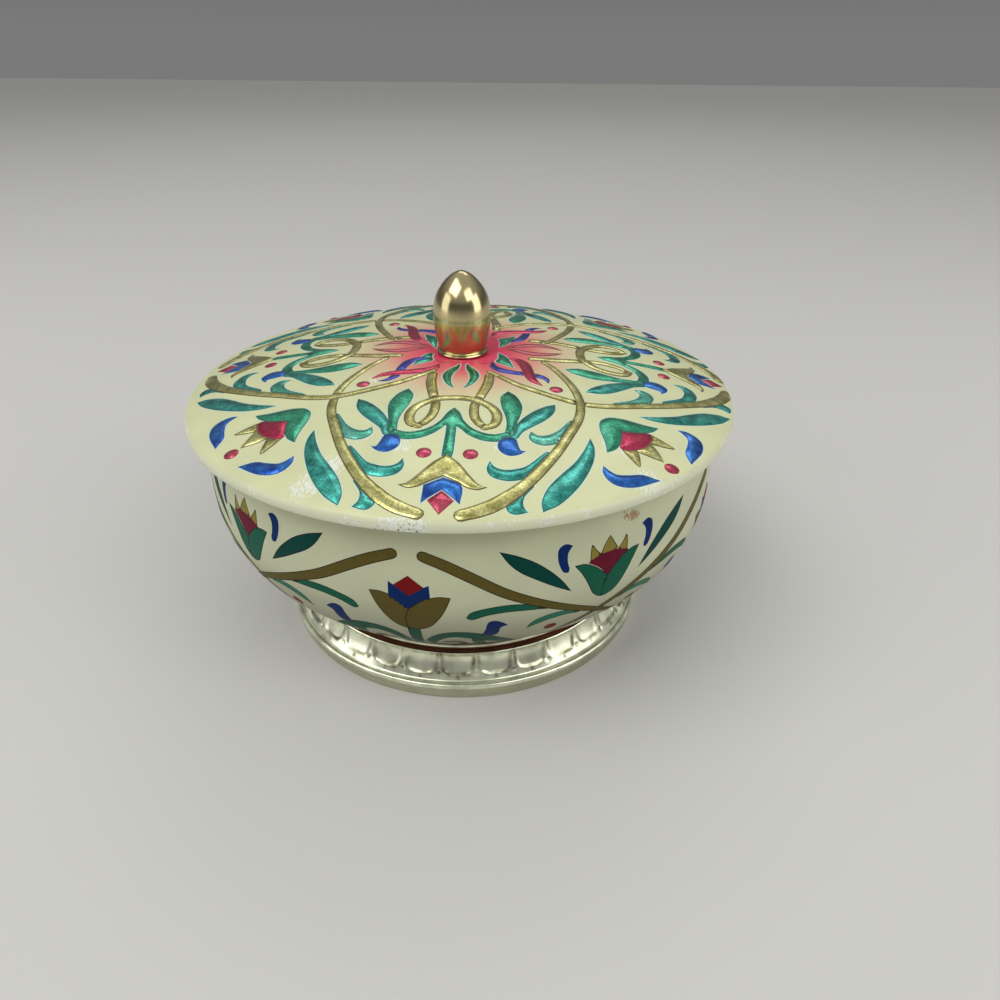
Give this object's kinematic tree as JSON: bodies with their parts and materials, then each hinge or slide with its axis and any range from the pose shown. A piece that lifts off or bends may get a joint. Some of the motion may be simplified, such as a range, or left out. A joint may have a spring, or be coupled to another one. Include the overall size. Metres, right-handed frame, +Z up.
{
  "type": "decorative tin",
  "caption": "Round lidded tin: a bellied sheet-metal bowl on a stamped ring foot, with a loose domed lid embossed with scrolls and flowers and an acorn knob.",
  "frame": {"origin": "on the surface that the tin stands on, under the centre of its foot", "axes": "+Z up along the axis on which foot, bowl, lid and knob are centred; the side seen in front looks along -Y; +X to the right of it"},
  "size_m": [0.19, 0.1896, 0.1281],
  "materials": {
    "foot_gold": "bright pale gold lacquered tinplate, stamped, mirror bright on the band and satin on the flange",
    "bowl_print": "cream lithographed tinplate with flat olive, green, blue and red ornament under a satin varnish",
    "lid_print": "cream lithographed tinplate, embossed, with metallic gold, green, blue and red ornament under a gloss varnish",
    "finial_brass": "polished brass-gold plating"
  },
  "bodies": {
    "root": {"foot": "foot_gold", "bowl": "bowl_print", "lid": "lid_print", "finial": "finial_brass"}
  },
  "joints": []
}
